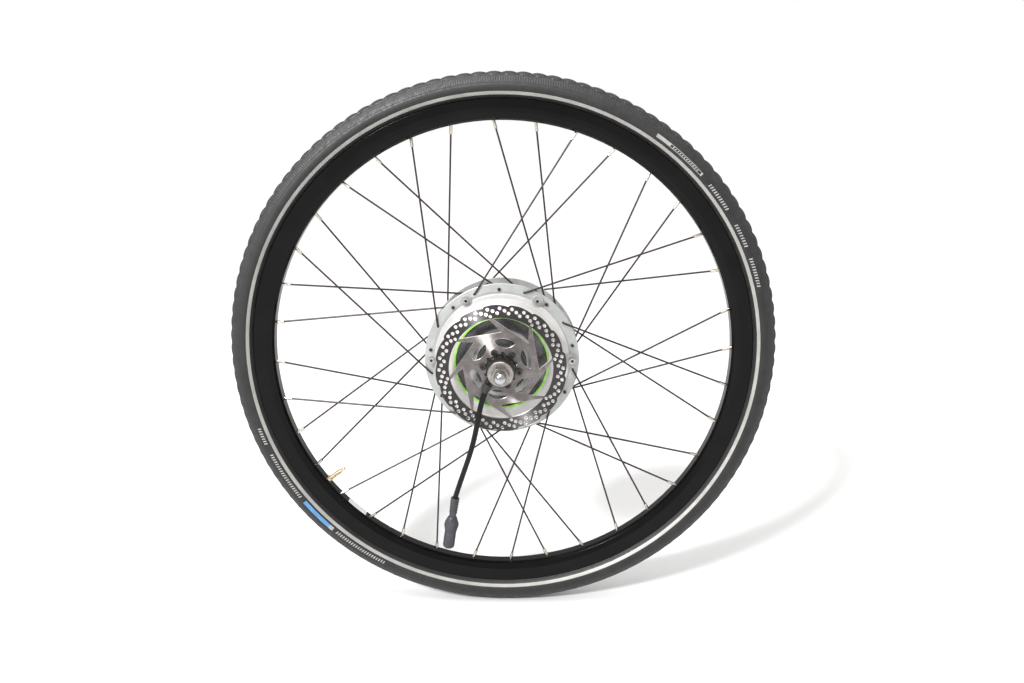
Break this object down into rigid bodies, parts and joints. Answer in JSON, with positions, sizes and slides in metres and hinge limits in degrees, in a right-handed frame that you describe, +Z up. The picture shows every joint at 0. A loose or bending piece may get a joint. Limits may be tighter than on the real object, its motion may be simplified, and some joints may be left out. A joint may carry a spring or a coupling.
{
  "type": "bicycle hub motor wheel",
  "caption": "Rear bicycle wheel with a geared hub motor laced into it, disc brake rotor, road tyre and a motor cable; turns on its fixed axle.",
  "frame": {"origin": "centre of the wheel: the axle's axis in the rim's middle plane", "axes": "+Y along the axle, out of the drive side; -Y out of the disc side; +Z up; +X to the right seen from the disc side"},
  "size_m": [0.6957, 0.1795, 0.6958],
  "materials": {
    "axle_steel": "ground",
    "turned_steel": "turned, warm",
    "black_plastic": "glossy",
    "plated_steel": "bright plated",
    "cast_aluminium": "satin, silver-painted casting",
    "electrical_steel": "laminated",
    "enamelled_copper": "enamelled wire",
    "circuit_board": "solder mask",
    "cable_black": "satin jacket",
    "black_rubber": "matt",
    "connector_charcoal": "moulded",
    "green_trim": "lime green",
    "charcoal_trim": "dark, semi-gloss",
    "disc_steel": "ground stainless",
    "bronze_bolts": "dark bronze",
    "black_spokes": "black",
    "nipple_brass": "nickel-plated",
    "black_rim": "gloss black anodised",
    "rim_tape": "woven tape",
    "valve_brass": "bright",
    "tyre_rubber": "matt",
    "reflective_band": "retroreflective",
    "magnet_plating": "nickel-plated",
    "gear_nylon": "natural"
  },
  "bodies": {
    "axle": {"axle": "axle_steel", "axle_sleeve": "turned_steel", "cable_collar": "black_plastic", "axle_cap_nut": "plated_steel", "drive_spacer": "turned_steel", "drive_washer": "plated_steel", "drive_nut": "plated_steel", "stator_carrier": "cast_aluminium", "stator_core": "electrical_steel", "stator_windings": "enamelled_copper", "sensor_board": "circuit_board", "motor_leads": "cable_black", "planet_carrier": "turned_steel", "planet_pins": "axle_steel", "one_way_clutch": "turned_steel", "clutch_rollers": "axle_steel", "cable": "cable_black", "cable_relief": "black_rubber", "connector_sleeve": "connector_charcoal", "connector_collar": "connector_charcoal", "connector_body": "connector_charcoal"},
    "wheel": {"hub_shell": "cast_aluminium", "disc_side_cover": "cast_aluminium", "cover_screws": "plated_steel", "trim_ring": "green_trim", "trim_disc": "charcoal_trim", "disc_side_bearing": "axle_steel", "disc_side_seal": "black_rubber", "drive_side_bearing": "axle_steel", "drive_side_seal": "black_rubber", "ring_gear": "turned_steel", "brake_disc": "disc_steel", "disc_bolts": "bronze_bolts", "spokes_disc_outer": "black_spokes", "spokes_disc_inner": "black_spokes", "spokes_drive_outer": "black_spokes", "spokes_drive_inner": "black_spokes", "nipples": "nipple_brass", "rim": "black_rim", "rim_tape": "rim_tape", "valve_stem": "valve_brass", "valve_nut": "valve_brass", "tyre": "tyre_rubber", "inner_tube": "black_rubber", "reflective_band_disc": "reflective_band", "reflective_band_drive": "reflective_band"},
    "motor_rotor": {"rotor_can": "electrical_steel", "rotor_magnets": "magnet_plating", "rotor_bearing": "axle_steel", "needle_bush": "axle_steel", "sun_gear": "turned_steel"},
    "planet_1": {"planet_gear_1": "gear_nylon", "planet_bush_1": "turned_steel"},
    "planet_2": {"planet_gear_2": "gear_nylon", "planet_bush_2": "turned_steel"},
    "planet_3": {"planet_gear_3": "gear_nylon", "planet_bush_3": "turned_steel"}
  },
  "joints": [
    {"name": "wheel_spin", "type": "hinge", "parent": "axle", "child": "wheel", "pos_m": [0, 0, 0], "axis": [0, 1, 0], "continuous": true},
    {"name": "rotor_spin", "type": "hinge", "parent": "axle", "child": "motor_rotor", "pos_m": [0, 0, 0], "axis": [0, 1, 0], "continuous": true},
    {"name": "planet_1_spin", "type": "hinge", "parent": "axle", "child": "planet_1", "pos_m": [0, 0, 0.03825], "axis": [0, 1, 0], "continuous": true},
    {"name": "planet_2_spin", "type": "hinge", "parent": "axle", "child": "planet_2", "pos_m": [-0.03313, 0, -0.01912], "axis": [0, 1, 0], "continuous": true},
    {"name": "planet_3_spin", "type": "hinge", "parent": "axle", "child": "planet_3", "pos_m": [0.03313, 0, -0.01912], "axis": [0, 1, 0], "continuous": true}
  ],
  "couplings": [
    {"joint": "rotor_spin", "follows": "wheel_spin", "ratio": -4.6667},
    {"joint": "planet_1_spin", "follows": "wheel_spin", "ratio": 2.5455},
    {"joint": "planet_2_spin", "follows": "wheel_spin", "ratio": 2.5455},
    {"joint": "planet_3_spin", "follows": "wheel_spin", "ratio": 2.5455}
  ]
}
